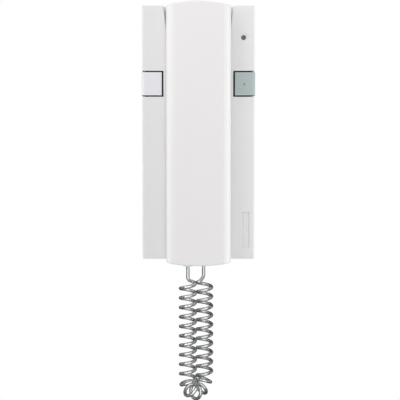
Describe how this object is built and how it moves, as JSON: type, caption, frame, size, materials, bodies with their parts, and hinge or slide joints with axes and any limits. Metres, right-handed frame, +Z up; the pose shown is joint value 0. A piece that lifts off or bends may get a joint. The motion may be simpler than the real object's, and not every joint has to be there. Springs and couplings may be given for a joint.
{
  "type": "intercom handset",
  "caption": "Wall intercom phone: a handset resting in a slim base with two side keys, an indicator lamp, a name strip and a curly cord hanging in a loop.",
  "frame": {"origin": "middle of the back plate's rear face, where the base meets the wall", "axes": "+Z up along the base and the handset, +Y into the wall, +X to the right as seen from the front"},
  "size_m": [0.091, 0.046, 0.3203],
  "materials": {
    "cover_white": "satin moulded",
    "plate_white": "moulded",
    "left_key_white": "satin moulded",
    "right_key_grey": "satin moulded",
    "switch_black": "moulded",
    "switch_stem_grey": "moulded",
    "board_green": "lacquered",
    "terminal_green": "moulded",
    "screw_steel": "zinc plated",
    "can_aluminium": "drawn",
    "speaker_steel": "plated",
    "cone_film": "film",
    "foam_black": "foam",
    "lens_smoke": "polished",
    "lamp_red": "clear tinted",
    "label_white": "printed film, bare",
    "jack_black": "moulded",
    "plug_clear": "clear",
    "lead_grey": "extruded",
    "cord_grey": "extruded, glossy"
  },
  "bodies": {
    "base": {"front_cover": "cover_white", "back_plate": "plate_white", "hook_switch": "switch_black", "left_key_switch": "switch_black", "right_key_switch": "switch_black", "control_chip": "switch_black", "board_socket": "switch_black", "circuit_board": "board_green", "terminal_block": "terminal_green", "cover_screw": "screw_steel", "board_screws": "screw_steel", "terminal_screws": "screw_steel", "hook_spring": "screw_steel", "capacitors": "can_aluminium", "speaker_frame": "speaker_steel", "speaker_cone": "cone_film", "speaker_gasket": "foam_black", "speaker_pad": "foam_black", "led_light_guide": "lens_smoke", "status_led": "lamp_red", "label_plate": "label_white", "base_jack": "jack_black", "base_plug": "plug_clear", "base_jack_leads": "lead_grey", "curly_cord": "cord_grey"},
    "handset": {"handset_outer_shell": "cover_white", "handset_inner_shell": "cover_white", "handset_screws": "screw_steel", "receiver_gasket": "foam_black", "receiver_capsule": "can_aluminium", "receiver_pad": "foam_black", "receiver_leads": "lead_grey", "microphone_boot": "foam_black", "microphone_capsule": "can_aluminium", "microphone_leads": "lead_grey", "handset_jack": "jack_black", "handset_plug": "plug_clear"},
    "hook": {"hook_plunger": "switch_stem_grey"},
    "left_key": {"left_key_cap": "left_key_white", "left_key_stem": "switch_stem_grey"},
    "right_key": {"right_key_cap": "right_key_grey", "right_key_stem": "switch_stem_grey"}
  },
  "joints": [
    {"name": "handset_lift", "type": "slide", "parent": "base", "child": "handset", "axis": [0, -1, 0], "range_m": [0, 0.03]},
    {"name": "hook_release", "type": "slide", "parent": "base", "child": "hook", "axis": [0, -1, 0], "range_m": [0, 0.003], "deforming": ["hook_spring"]},
    {"name": "left_key_press", "type": "slide", "parent": "base", "child": "left_key", "axis": [0, 1, 0], "range_m": [0, 0.0012], "stiffness_N_per_m": 1500, "springref_m": -0.0005},
    {"name": "right_key_press", "type": "slide", "parent": "base", "child": "right_key", "axis": [0, 1, 0], "range_m": [0, 0.0012], "stiffness_N_per_m": 1500, "springref_m": -0.0005}
  ],
  "couplings": [
    {"joint": "hook_release", "follows": "handset_lift", "ratio": 0.1}
  ]
}
